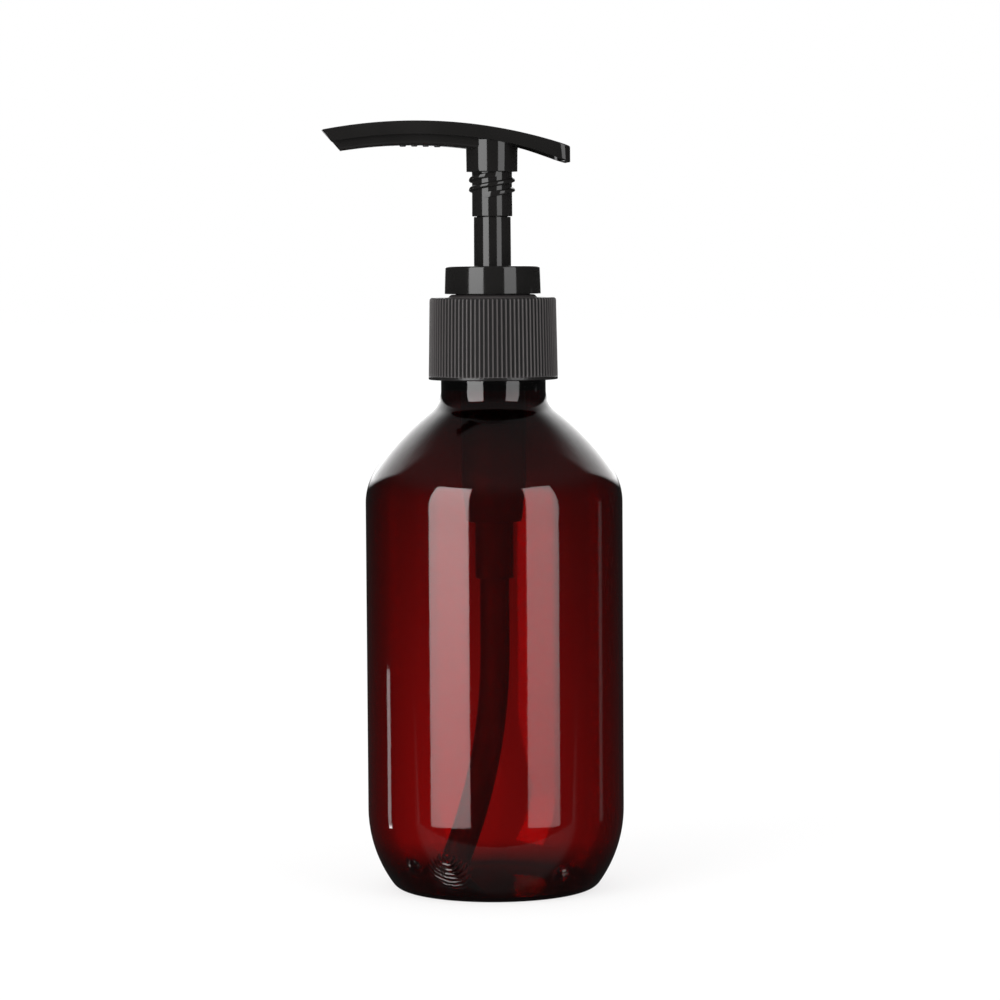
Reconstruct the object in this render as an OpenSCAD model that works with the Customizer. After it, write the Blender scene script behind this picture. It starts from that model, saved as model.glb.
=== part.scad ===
// Pump oil bottle: a 300 ml transparent red bottle with a 28/410 screw closure and a
// lock-down lotion pump. Millimetres, +Z up, the bottle's axis on Z, its foot ring at
// z = 0, and the spout pointing along -X. The pump is unlocked and fully raised.

/* [Bottle] */
// Outside radius of the body
body_r = 32.6; // [32:0.1:33.2]
// Wall thickness of the blown body
wall = 1.0; // [0.7:0.1:1.3]
// Height at which the straight body meets the heel
heel_z = 20.4; // [18:0.2:22]
// Large heel radius
heel_r1 = 32.5; // [31:0.5:34]
// Small heel radius, next to the foot ring
heel_r2 = 3.6; // [3:0.2:4.4]
// Inner radius of the foot ring
foot_r = 21.3; // [20:0.1:22]
// Rise of the push-up at the base's centre
dome_h = 2.6; // [1.5:0.1:3]
// Thickness of the base
base_t = 1.3; // [1:0.1:1.5]
// Height at which the body meets the shoulder
shoulder_z = 98.32; // [97:0.1:99]
// Height of the bottle's lip
lip_z = 146.18; // [146.1:0.02:146.18]
// Bore radius of the neck
neck_bore_r = 10.9; // [10.2:0.1:11.2]
// Root radius of the neck's thread
neck_root_r = 12.7; // [12.5:0.05:12.8]

/* [Closure] */
// Outside radius at the top of the ribbed skirt
cap_top_r = 16.0; // [15.8:0.05:16.2]
// Outside radius at the bottom of the ribbed skirt
cap_low_r = 16.37; // [16.3:0.01:16.6]
// Number of grip ribs
ribs = 90; // [60:1:100]
// Inside radius of the closure's skirt
cap_bore_r = 14.1; // [14.05:0.05:14.3]
// Bottom of the closure
cap_z0 = 129.5; // [129:0.1:130]
// Top of the closure's panel
cap_z1 = 150.1; // [150:0.05:150.2]

/* [Pump] */
// Outside radius of the stem
stem_r = 4.7; // [4.6:0.02:4.72]
// Bore radius of the pump's cylinder
barrel_bore_r = 7.0; // [6.98:0.01:7.1]
// Outside radius of the pump's cylinder
barrel_r = 8.15; // [8:0.05:8.3]
// Outside radius of the dip tube
tube_r = 3.7; // [3.5:0.05:3.72]
// Bore radius of the dip tube
tube_bore_r = 2.9; // [2.5:0.1:3]
// Radius of the dip tube's bend
tube_bend_r = 145; // [140:1:160]
// Height at which the dip tube starts to bend
tube_bend_z = 61; // [60:1:66]
// Angle of the dip tube's bend
tube_bend_a = 22.3; // [18:0.1:22.4]
// Radius of the inlet ball
ball_r = 2.6; // [2.5:0.02:2.62]
// Wire radius of the spring
wire_r = 0.45; // [0.35:0.01:0.46]
// Active coils of the spring
coils = 8; // [6:1:9]

/* [Head] */
// Radius of the head's arched top, seen from the side
arch_r = 123; // [115:1:135]
// Height of the arch's apex
arch_top = 194.64; // [194:0.1:195]
// Apex offset from the stem's axis, towards the spout
arch_x = 20.2; // [18:0.2:22]
// Depth of the plate's rim
plate_t = 3.4; // [3:0.1:3.6]
// Depth of the plate and spout together
spout_t = 6.1; // [5.8:0.1:6.4]
// Half width of the plate over the stem
plate_w = 7.0; // [6.7:0.1:7.5]
// Half width of the plate at the spout's tip
tip_w = 4.7; // [4.2:0.1:5.2]

/* [Hidden] */
$fn = 96;

black = [0.045, 0.043, 0.042];
satin = [0.075, 0.07, 0.07];
red = [0.45, 0.03, 0.03];
grey = [0.75, 0.75, 0.73];
steel = [0.7, 0.7, 0.72];

// Shoulder: two convex arcs and a concave one into the neck
sh_r1 = 14.88;
sh_a1 = 34.3;
sh_r2 = 62.18;
sh_a2 = 53.26;
sh_r3 = 6.43;
neck_z = 131.2;
thread_pitch = 4.233;
thread_turns = 1.5;
lock_lead = 4.9;

// Heights of the pump, raised
gasket_z = 146.2;
flange_z = 147.2;
flange_top = 148.5;
ring_top = 156.3;
chaplet_z0 = 151.1;
chaplet_z1 = 158.1;
guide_z0 = 141.0;
guide_z1 = 146.0;
spigot_z0 = 79;
tube_top = 88.8;
seat_z = 91.0;
floor_z = 95.5;
disc_z0 = 129.5;
disc_z1 = 131.0;
piston_top = 139.1;
stem_z0 = 140.65;
skirt_z0 = 170.6;
tail_x = 19.3;
post_z0 = 181.8;

// n + 1 points on the arc of radius r about c, from angle a0 to angle a1
function arc(c, r, a0, a1, n) =
    [for (i = [0:n]) let (a = a0 + (a1 - a0) * i / n) c + r * [cos(a), sin(a)]];
function smooth(t) = let (u = min(1, max(0, t))) u * u * (3 - 2 * u);

// A screw rib wound round Z. The section runs from the wall to the crest; the crest
// fades out over the first and last quarter turn.
module screw_rib(r_wall, r_crest, w_wall, w_crest, lead, turns, seg = 36) {
    n = round(turns * seg);
    function crest(i) = r_wall + (r_crest - r_wall) *
        (0.3 + 0.7 * smooth(min(i, n - i) / (0.2 * seg)));
    function width(i) = w_wall + (w_crest - w_wall) * (crest(i) - r_wall) / (r_crest - r_wall);
    function ring(i) = let (
            out = r_crest > r_wall,
            ri = out ? r_wall : crest(i), ro = out ? crest(i) : r_wall,
            wi = out ? w_wall : width(i), wo = out ? width(i) : w_wall,
            a = 360 * i / seg, z = lead * i / seg)
        [for (p = [[ri, -wi], [ro, -wo], [ro, wo], [ri, wi]])
            [p[0] * cos(a), p[0] * sin(a), z + p[1] / 2]];
    sweep([for (i = [0:n]) ring(i)]);
}

// Skin a list of closed sections, each counter-clockwise seen from the section before
module sweep(rings) {
    m = len(rings[0]);
    n = len(rings) - 1;
    points = [for (r = rings) for (p = r) p];
    sides = [for (i = [0:n - 1]) for (j = [0:m - 1]) let (k = (j + 1) % m)
        for (f = [[i * m + j, i * m + k, (i + 1) * m + k],
                  [i * m + j, (i + 1) * m + k, (i + 1) * m + j]]) f];
    caps = [for (j = [1:m - 2]) for (f = [[0, j + 1, j],
                                          [n * m, n * m + j, n * m + j + 1]]) f];
    polyhedron(points, concat(sides, caps), convexity = 8);
}

// Outline of the bottle's outside (t = 0) or inside (t = wall), from the base upwards
function bottle_side(t) = let (
        ah = asin((heel_z - heel_r2) / (heel_r1 - heel_r2)),
        c1 = [body_r - heel_r1, heel_z],
        c2 = c1 + (heel_r1 - heel_r2) * [cos(ah), -sin(ah)],
        s1 = [body_r - sh_r1, shoulder_z],
        s2 = s1 + (sh_r1 - sh_r2) * [cos(sh_a1), sin(sh_a1)],
        s3 = s2 + (sh_r2 + sh_r3) * [cos(sh_a2), sin(sh_a2)])
    concat(arc(c2, heel_r2 - t, -90, -ah, 10), arc(c1, heel_r1 - t, -ah + 2, 0, 12),
           arc(s1, sh_r1 - t, 0, sh_a1, 10), arc(s2, sh_r2 - t, sh_a1 + 1.5, sh_a2, 10),
           arc(s3, sh_r3 + t, 180 + sh_a2 - 6, 180, 8));
// Outline of the base's push-up, raised by t
function base_side(t) = let (R = (foot_r * foot_r + dome_h * dome_h) / (2 * dome_h),
        am = asin(foot_r / R))
    arc([0, dome_h - R], R + t, 90, 90 - am, 10);

module bottle_body() {
    neck = bottle_side(0)[len(bottle_side(0)) - 1];
    difference() {
        rotate_extrude() polygon(concat(base_side(0), bottle_side(0),
            [[neck[0], neck_z], [neck_root_r, neck_z + 0.5], [neck_root_r, lip_z - 0.4],
             [neck_root_r - 0.4, lip_z], [0, lip_z]]));
        rotate_extrude() polygon(concat(base_side(base_t), bottle_side(wall),
            [[neck[0] - wall, neck[1] + 0.2], [neck_bore_r, neck[1] + 2.2],
             [neck_bore_r, lip_z + 1], [0, lip_z + 1]]));
    }
}

module bottle() color(red) {
    bottle_body();
    // gate mark under the base
    translate([0, 0, dome_h - 0.5]) cylinder(r = 2.2, h = 1);
    translate([0, 0, 136.6])
        screw_rib(neck_root_r - 0.3, 13.7, 2.6, 1.0, thread_pitch, thread_turns);
}

// Closure: a ribbed skirt with a panel, a low boss and a thread inside
module closure() color(satin) {
    rib_root = cap_top_r - 0.3;
    step = 360 / ribs;
    plain = cap_z0 + 0.9;
    difference() {
        union() {
            intersection() {
                translate([0, 0, plain]) linear_extrude(cap_z1 - plain - 0.5)
                    polygon([for (i = [0:ribs - 1])
                        for (k = [[-0.3, 0], [-0.2, 1], [0.2, 1], [0.3, 0]])
                        let (r = rib_root + k[1] * 0.8, a = (i + k[0]) * step)
                        [r * cos(a), r * sin(a)]]);
                translate([0, 0, cap_z0])
                    cylinder(r1 = cap_low_r, r2 = cap_top_r, h = cap_z1 - cap_z0);
            }
            rotate_extrude() polygon([[0, cap_z0], [cap_low_r - 0.1, cap_z0],
                [cap_low_r, cap_z0 + 0.1], [cap_low_r, plain - 0.1], [rib_root, plain + 0.2],
                [rib_root, cap_z1 - 0.6], [rib_root - 0.2, cap_z1 - 0.1],
                [rib_root - 0.5, cap_z1], [11.4, cap_z1], [10.8, cap_z1 + 0.65],
                [10.4, cap_z1 + 0.8], [0, cap_z1 + 0.8]]);
        }
        translate([0, 0, cap_z0 - 1]) cylinder(r = cap_bore_r, h = flange_top + 0.03 - cap_z0 + 1);
        translate([0, 0, cap_z0]) cylinder(r = 9.6, h = 30);
    }
    translate([0, 0, 135.0])
        screw_rib(cap_bore_r + 0.3, 12.95, 2.6, 1.0, thread_pitch, thread_turns);
}

// Sealing washer between the bottle's lip and the pump's flange
module gasket() color(grey) rotate_extrude()
    polygon([[barrel_r + 0.15, gasket_z], [12.5, gasket_z], [12.5, flange_z],
             [barrel_r + 0.15, flange_z]]);

// Chaplet: the locking collar that snaps on the housing and guides the stem
module chaplet() color(black) {
    rotate_extrude() polygon([[stem_r + 0.08, guide_z0], [6.9, guide_z0],
        [6.9, 155.9], [7.3, 156.5], [9.55, 156.5], [9.55, 154.9], [9.92, 154.5],
        [9.92, 153.5], [9.55, 153.1], [9.55, chaplet_z0], [10.5, chaplet_z0], [10.5, 156.0],
        [11.1, 156.0], [11.1, chaplet_z0], [12.15, chaplet_z0], [12.02, chaplet_z1 - 0.4],
        [11.9, chaplet_z1 - 0.12], [11.6, chaplet_z1], [6.4, chaplet_z1],
        [5.95, chaplet_z1 - 0.4], [5.95, guide_z1 + 1.2], [stem_r + 0.08, guide_z1]]);
    for (a = [0, 180]) rotate([0, 0, a]) translate([0, 0, 151.9])
        screw_rib(6.2, 5.3, 1.3, 0.5, lock_lead, 0.75);
}

// Housing: the pump's cylinder with its flange, snap ring, inlet seat and spigot
module housing() color(black) {
    difference() {
        rotate_extrude() polygon([[tube_r + 0.05, spigot_z0], [4.85, spigot_z0],
            [4.85, 93.5], [6.9, 93.5], [7.1, 93.9], [barrel_r, 104], [barrel_r, flange_z],
            [12.4, flange_z], [12.4, flange_top], [9.45, flange_top], [9.45, 153.5],
            [9.8, 154], [9.45, 154.5], [9.45, ring_top - 0.3], [9.15, ring_top],
            [8.6, ring_top], [8.6, 148.4], [barrel_bore_r, 147], [barrel_bore_r, 101.5],
            [5.95, 97], [5.95, floor_z], [3.9, floor_z], [3.9, 97.3], [3.0, 97.3],
            [3.0, seat_z + 1.4], [1.6, seat_z], [1.6, 89.0], [tube_r + 0.05, 89.0]]);
        // air vent above the piston
        translate([0, 0, 140.0]) rotate([90, 0, 0]) cylinder(r = 0.5, h = 20);
    }
    // three fingers that keep the ball in its cage
    for (a = [0:120:240]) rotate([0, 0, a]) translate([2.1, -0.6, 96.57])
        cube([1.3, 1.2, 0.7]);
}

// Dip tube: straight below the spigot, then curling towards the spout's side
module dip_tube() color(black) {
    rotate_extrude() polygon([[tube_bore_r, tube_bend_z], [tube_r, tube_bend_z],
        [tube_r, tube_top], [tube_bore_r, tube_top]]);
    translate([-tube_bend_r, 0, tube_bend_z]) rotate([-90, 0, 0])
        rotate_extrude(angle = tube_bend_a) translate([tube_bend_r, 0]) difference() {
            circle(r = tube_r);
            circle(r = tube_bore_r);
        }
}

// Inlet check ball on its 45 degree seat
module ball() color(steel)
    translate([0, 0, seat_z - 1.6 + ball_r * sqrt(2) + 0.03]) sphere(r = ball_r);

// Height of the spring's wire after t turns, with closed coils at both ends
spring_dead = 0.75;
spring_z0 = floor_z + wire_r + 0.02;
spring_pitch = (disc_z0 - floor_z - 0.04 - (2 + 4 * spring_dead) * wire_r) / coils;
function spring_z(t) = spring_z0 + 2 * wire_r * (min(t, spring_dead)
    + max(t - spring_dead - coils, 0)) + spring_pitch * min(max(t - spring_dead, 0), coils);

// Return spring, between the cylinder's floor and the rod's disc
module spring() color(steel)
    sweep([for (i = [0:20 * (coils + 2 * spring_dead)]) let (a = 18 * i)
        [for (k = [0:7]) let (r = 4.75 + wire_r * cos(45 * k))
            [r * cos(a), r * sin(a), spring_z(i / 20) + wire_r * sin(45 * k)]]]);

// Rod: plugs the stem, carries the valve disc and lets liquid in through four ports
module piston_rod() color(black) difference() {
    rotate_extrude() polygon([[0, 123.5], [2.2, 123.5], [2.6, 124], [2.6, disc_z0],
        [5.6, disc_z0], [5.6, disc_z1 - 0.3], [5.3, disc_z1], [3.2, disc_z1],
        [3.2, 150], [1.6, 150], [1.6, disc_z1 + 0.3], [0, disc_z1]]);
    for (a = [0, 90]) rotate([0, 0, a]) translate([0, 0, 131.75]) rotate([90, 0, 0])
        cylinder(r = 0.5, h = 12, center = true);
}

// Piston: a sleeve that slides on the rod, with two lips that wipe the cylinder
module piston() color(grey) rotate_extrude()
    polygon([[3.28, 131.03], [4.9, 131.03], [4.9, 134.2], [6.0, 134.2], [6.3, 131.9],
        [6.7, 131.2], [6.93, 131.2], [6.93, 131.8], [6.75, 133], [6.75, 137.2], [6.93, 138.4],
        [6.93, 139], [6.7, 139], [6.3, 138.3], [6.0, 136], [4.9, 136], [4.9, piston_top],
        [3.28, piston_top]]);

// Stem: the tube that the rod snaps into below and the head above
module stem() color(black) rotate_extrude()
    polygon([[3.22, stem_z0], [stem_r - 0.15, stem_z0], [stem_r, stem_z0 + 0.3],
        [stem_r, skirt_z0 - 0.15], [3.9, skirt_z0 - 0.15], [3.9, 183.7], [3.6, 183.95],
        [2.6, 183.95], [2.6, 150.6], [3.22, 150.2]]);

// A band between two radii of the head's arch, cut at the spout's oblique end and at tail
module arch_band(r_out, r_in, tail) intersection() {
    translate([-arch_x, arch_top - arch_r]) difference() {
        circle(r = r_out, $fn = 360);
        circle(r = r_in, $fn = 360);
    }
    polygon([[-36.1, 183.8], [-44.6, 195.1], [-44.6, 197], [tail, 197], [tail, 180]]);
}

// Plan outline of the plate, narrowed by d
module plate_plan(d) {
    x0 = -46;
    x1 = tail_x - d;
    n = 32;
    function corner(x) = min(1, max(0, (x - x1 + 3) / 3));
    function half(x) = tip_w + (plate_w - tip_w) * smooth((x + 42) / 38) - d
        - (plate_w - d) * 0.3 * (1 - sqrt(1 - pow(corner(x), 2)));
    xs = [for (i = [0:n]) x0 + (x1 - x0) * (1 - pow(1 - i / n, 1.6))];
    polygon(concat([for (x = xs) [x, -half(x)]],
                   [for (i = [n:-1:0]) [xs[i], half(xs[i])]]));
}

// Part of the head's arch: between two radii, narrowed by d, up to x = tail
module plate_part(r_out, r_in, tail, d) intersection() {
    rotate([90, 0, 0]) linear_extrude(20, center = true) arch_band(r_out, r_in, tail);
    translate([0, 0, 175]) linear_extrude(30) plate_plan(d);
}

// Head: an arched plate with a hollow tail, a spout below it and a socket with the
// two-start lock thread
module head() color(black) {
    mid_r = arch_r - 3.3;
    rise = asin(arch_x / mid_r);
    difference() {
        union() {
            plate_part(arch_r, arch_r - plate_t, tail_x, 0);
            plate_part(arch_r - plate_t + 0.4, arch_r - spout_t, 0, 1.6);
            translate([0, 0, post_z0]) cylinder(r1 = 6.46, r2 = 6.6, h = 8);
            translate([0, 0, skirt_z0]) cylinder(r = 5.09, h = post_z0 - skirt_z0 + 1);
        }
        // hollow under the tail
        difference() {
            intersection() {
                rotate([90, 0, 0]) linear_extrude(20, center = true)
                    translate([-arch_x, arch_top - arch_r]) difference() {
                        circle(r = arch_r - 1.3, $fn = 360);
                        circle(r = arch_r - 10, $fn = 360);
                    }
                translate([4, 0, 175]) linear_extrude(30) intersection() {
                    translate([-4, 0]) plate_plan(1.2);
                    translate([0, -10]) square([20, 20]);
                }
            }
            translate([0, 0, 170]) cylinder(r = 6.6, h = 30);
        }
        // socket and waterway
        translate([0, 0, skirt_z0 - 1]) cylinder(r = 3.93, h = 184 - skirt_z0 + 1);
        translate([0, 0, 183]) cylinder(r = 2.4, h = 6.6);
        translate([-arch_x, 0, arch_top - arch_r]) rotate([90, 0, 0]) rotate([0, 0, 90 - rise])
            rotate_extrude(angle = rise + 14) translate([mid_r, 0]) circle(r = 1.9);
    }
    for (a = [64, 244]) rotate([0, 0, a]) translate([0, 0, 175.9])
        screw_rib(4.9, 5.82, 1.4, 0.7, lock_lead, 1.1);
    // raised marks under the spout
    for (x = [13.8:2.9:23])
        translate([-x, 0, arch_top - arch_r
            + sqrt(pow(arch_r - spout_t, 2) - pow(x - arch_x, 2)) - 0.35])
            cylinder(r = 0.8, h = 1);
}

bottle();
closure();
gasket();
chaplet();
housing();
dip_tube();
ball();
spring();
piston_rod();
piston();
stem();
head();
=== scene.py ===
"""Pump oil bottle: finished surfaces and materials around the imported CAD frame.

Lengths in the outlines below are millimetres and are turned to metres by MM.
"""

import math
import bmesh
import bpy
from mathutils import Matrix, Vector


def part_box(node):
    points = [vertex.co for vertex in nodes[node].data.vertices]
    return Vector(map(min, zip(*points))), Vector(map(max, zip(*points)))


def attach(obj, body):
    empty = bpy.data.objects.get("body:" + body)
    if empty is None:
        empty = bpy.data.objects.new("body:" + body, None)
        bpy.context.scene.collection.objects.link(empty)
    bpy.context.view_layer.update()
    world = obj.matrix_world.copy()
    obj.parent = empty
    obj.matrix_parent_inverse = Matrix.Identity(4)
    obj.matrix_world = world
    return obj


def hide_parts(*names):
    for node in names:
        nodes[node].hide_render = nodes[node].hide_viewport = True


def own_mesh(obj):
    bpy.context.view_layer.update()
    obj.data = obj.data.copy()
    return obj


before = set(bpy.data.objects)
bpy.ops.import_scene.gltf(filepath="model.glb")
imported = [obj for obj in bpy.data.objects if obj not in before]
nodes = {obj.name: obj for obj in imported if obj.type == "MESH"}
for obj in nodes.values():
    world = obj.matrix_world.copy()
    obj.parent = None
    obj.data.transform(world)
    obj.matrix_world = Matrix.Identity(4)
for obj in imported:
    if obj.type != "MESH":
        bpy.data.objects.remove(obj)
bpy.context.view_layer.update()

MM = 0.001
SCENE = bpy.context.scene


def top(node):
    """Height of a CAD node's top, in millimetres."""
    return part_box(node)[1][2] / MM


def bottom(node):
    """Height of a CAD node's bottom, in millimetres."""
    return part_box(node)[0][2] / MM


# Driving dimensions, in millimetres
BODY_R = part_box("bottle")[1][0] / MM
WALL = 1.0
HEEL_Z, HEEL_R1, HEEL_R2 = 20.4, 32.5, 3.6
FOOT_R, DOME_H, BASE_T = 21.3, 2.6, 1.3
SHOULDER_Z = 98.32
SHOULDER = ((14.88, 34.3), (62.18, 53.26), 6.43)
NECK_BORE, NECK_ROOT, NECK_CREST = 10.9, 12.7, 13.7
NECK_STEP = 131.2
LIP = top("bottle")

# Flow marks: on the heel turn from FLOW_ANGLE in degrees, height and spread, on the base
# the centre of the curls and their reach from the axis
FLOW_ANGLE = math.radians(-96)
FLOW_MARKS = ((-23, 7.6, 6.0), (33, 7.0, 2.6), (-43, 8.5, 3.0))
SWIRL_X, SWIRL_R = -9.0, 19.5

THREAD_PITCH, THREAD_TURNS = 4.233, 1.5
THREAD_FOOT, THREAD_LAND = 2.6, 1.0
NECK_THREAD_Z, CAP_THREAD_Z, CAP_THREAD_CREST = 136.6, 135.0, 12.95

# Two-start lock thread: ribs on the head's skirt, and in the chaplet's bore
LOCK_LEAD = 4.9
LOCK_PHASE = math.radians(64)
LOCK_Z, LOCK_TURNS, LOCK_CREST = 175.9, 1.1, 5.84
LOCK_NUT_Z, LOCK_NUT_TURNS, LOCK_NUT_CREST = 151.9, 0.75, 5.3

CAP_TOP_R, CAP_LOW_R, CAP_BORE, CAP_RIBS = 16.0, 16.37, 14.1, 90
CAP_LOW = bottom("closure")
BOSS_TOP = top("closure")
CAP_PANEL = BOSS_TOP - 0.8
CAP_BAND = 0.9
GROOVE_DEPTH = 0.42

STEM_R = 4.7
STEM_LOW = bottom("stem")
STEM_TOP = top("stem")
CHAPLET_LOW, CHAPLET_TOP = 151.1, top("chaplet")
GUIDE_LOW = bottom("chaplet")
SPIGOT_LOW = bottom("housing")
RING_TOP = top("housing")
BARREL_R, BORE_R = 8.15, 7.0
TUBE_R, TUBE_BORE = 3.7, 2.9
TUBE_TOP = top("dip_tube")
TUBE_BEND_R, TUBE_BEND_Z, TUBE_BEND_A = 145.0, 61.0, 22.3

ARCH_R, ARCH_X = 123.0, 20.2
ARCH_Z = top("head") - ARCH_R
PLATE_T, SPOUT_T = 3.4, 6.1
PLATE_W, TIP_W = 7.0, 4.7
TIP_TOP_X, TIP_LOW_X = -42.8, -38.1
SPOUT_INSET = 1.6
TAIL_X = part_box("head")[1][0] / MM
SKIRT_LOW = bottom("head")
SKIRT_R = 5.09
POST_LOW, POST_R = 181.8, 6.6
WATERWAY_R, SOCKET_R = 1.9, 3.93

CREASE = 38.0
RIB_STEPS = 96


# ---------------------------------------------------------------- outlines


def arc(centre, radius, start, end, step):
    """Points on an arc, at most step apart. Angles are in degrees."""
    n = max(1, math.ceil(abs(end - start) / step))
    angles = [math.radians(start + (end - start) * i / n) for i in range(n + 1)]
    return [(centre[0] + radius * math.cos(a), centre[1] + radius * math.sin(a)) for a in angles]


def rounded(corners, steps=5):
    """A closed outline from (r, z, fillet radius) corners."""
    points = []
    for i, (x, z, fillet) in enumerate(corners):
        here = Vector((x, z))
        if fillet <= 0:
            points.append((x, z))
            continue
        before = Vector(corners[i - 1][:2]) - here
        after = Vector(corners[(i + 1) % len(corners)][:2]) - here
        half = before.angle(after) / 2
        reach = min(fillet / math.tan(half), before.length * 0.49, after.length * 0.49)
        radius = reach * math.tan(half)
        middle = here + (before.normalized() + after.normalized()).normalized() * (
            radius / math.sin(half)
        )
        a = here + before.normalized() * reach - middle
        b = here + after.normalized() * reach - middle
        turn = a.angle_signed(b)
        for k in range(steps + 1):
            swung = a.copy()
            swung.rotate(Matrix.Rotation(-turn * k / steps, 2))
            points.append(tuple(middle + swung))
    return points


def smooth(t):
    """0 to 1 with flat ends."""
    t = min(1.0, max(0.0, t))
    return t * t * (3 - 2 * t)


# ---------------------------------------------------------------- meshes


def new_object(name, data):
    """An object for a mesh, a camera or a light, linked to the scene."""
    obj = bpy.data.objects.new(name, data)
    SCENE.collection.objects.link(obj)
    return obj


def mesh_object(name, bm, sharp=CREASE):
    """A finished object from a bmesh in millimetres: smooth faces, sharp creases."""
    bmesh.ops.remove_doubles(bm, verts=bm.verts, dist=1e-5)
    bmesh.ops.recalc_face_normals(bm, faces=bm.faces)
    bmesh.ops.scale(bm, vec=(MM, MM, MM), verts=bm.verts)
    mesh = bpy.data.meshes.new(name)
    bm.to_mesh(mesh)
    bm.free()
    obj = new_object(name, mesh)
    crease(obj, sharp)
    return obj


def crease(obj, sharp):
    """Smooth shading, broken where faces meet at more than the given angle."""
    bm = bmesh.new()
    bm.from_mesh(obj.data)
    limit = math.radians(sharp)
    for face in bm.faces:
        face.smooth = True
    for edge in bm.edges:
        edge.smooth = len(edge.link_faces) == 2 and edge.calc_face_angle(0) < limit
    bm.to_mesh(obj.data)
    bm.free()


def lathe(name, outline, segments, ripple=None, sharp=CREASE):
    """Turn a closed outline of (r, z) about Z. ripple(angle, i) moves point i outwards."""
    bm = bmesh.new()
    rings = []
    for i, (r, z) in enumerate(outline):
        if r < 1e-6:
            rings.append([bm.verts.new((0, 0, z))] * segments)
            continue
        ring = []
        for k in range(segments):
            a = 2 * math.pi * k / segments
            rr = r + (ripple(a, i) if ripple else 0.0)
            ring.append(bm.verts.new((rr * math.cos(a), rr * math.sin(a), z)))
        rings.append(ring)
    for i, ring in enumerate(rings):
        other = rings[(i + 1) % len(rings)]
        if ring[0] is ring[1] and other[0] is other[1]:
            continue  # both are on the axis
        for k in range(segments):
            quad = (ring[k], ring[(k + 1) % segments], other[(k + 1) % segments], other[k])
            corners = list(dict.fromkeys(quad))
            if len(corners) > 2:
                bm.faces.new(corners)
    return mesh_object(name, bm, sharp)


def skin(name, rings, closed=False):
    """A tube through rings of points, capped unless it closes on itself."""
    bm = bmesh.new()
    loops = [[bm.verts.new(p) for p in ring] for ring in rings]
    count = len(loops[0])
    last = len(loops) if closed else len(loops) - 1
    for i in range(last):
        a, b = loops[i], loops[(i + 1) % len(loops)]
        for j in range(count):
            k = (j + 1) % count
            bm.faces.new((a[j], a[k], b[k], b[j]))
    if not closed:
        bm.faces.new(loops[0])
        bm.faces.new(loops[-1])
    return mesh_object(name, bm)


def screw_rib(name, wall, crest, foot, land, lead, turns, z0, phase=0.0):
    """A screw rib with a rounded crest that fades out at both ends."""
    n = round(RIB_STEPS * turns)
    rings = []
    for i in range(n + 1):
        rise = 0.25 + 0.75 * smooth(min(i, n - i) / (0.18 * RIB_STEPS))
        tip = wall + (crest - wall) * rise
        half = (foot + (land - foot) * rise) / 2
        side = 1 if crest > wall else -1
        cut = 0.12 * side * rise
        section = [
            (wall, -foot / 2),
            (tip - cut, -half - 0.06),
            (tip, -half + 0.12),
            (tip, half - 0.12),
            (tip - cut, half + 0.06),
            (wall, foot / 2),
        ]
        a = phase + 2 * math.pi * i / RIB_STEPS
        z = z0 + lead * i / RIB_STEPS
        rings.append([(r * math.cos(a), r * math.sin(a), z + dz) for r, dz in section])
    return skin(name, rings)


def bevel(obj, width, angle):
    """Round off edges that turn by more than angle, in degrees. Width is in millimetres."""
    mod = obj.modifiers.new("bevel", "BEVEL")
    mod.width = width * MM
    mod.segments = 2
    mod.limit_method = "ANGLE"
    mod.angle_limit = math.radians(angle)
    mod.use_clamp_overlap = True
    bake(obj)


def bake(obj):
    """Replace the object's mesh by its modified mesh."""
    graph = bpy.context.evaluated_depsgraph_get()
    mesh = bpy.data.meshes.new_from_object(obj.evaluated_get(graph))
    obj.modifiers.clear()
    old, obj.data = obj.data, mesh
    bpy.data.meshes.remove(old)


def combine(obj, others, operation="UNION", sharp=CREASE):
    """Exact boolean of obj with each of the others, which are used up."""
    for other in others:
        mod = obj.modifiers.new("combine", "BOOLEAN")
        mod.operation = operation
        mod.solver = "EXACT"
        mod.object = other
        bake(obj)
        bpy.data.objects.remove(other)
    crease(obj, sharp)
    return obj


# ---------------------------------------------------------------- materials

# Depth of a fine surface grain in metres, and absorption per metre of the red wall
GRAIN = 0.00002
PLASTIC_IOR = 1.49
RED_IOR = 1.575
RED_TINT, RED_DENSITY = (0.885, 0.0, 0.0), 2900.0


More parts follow.
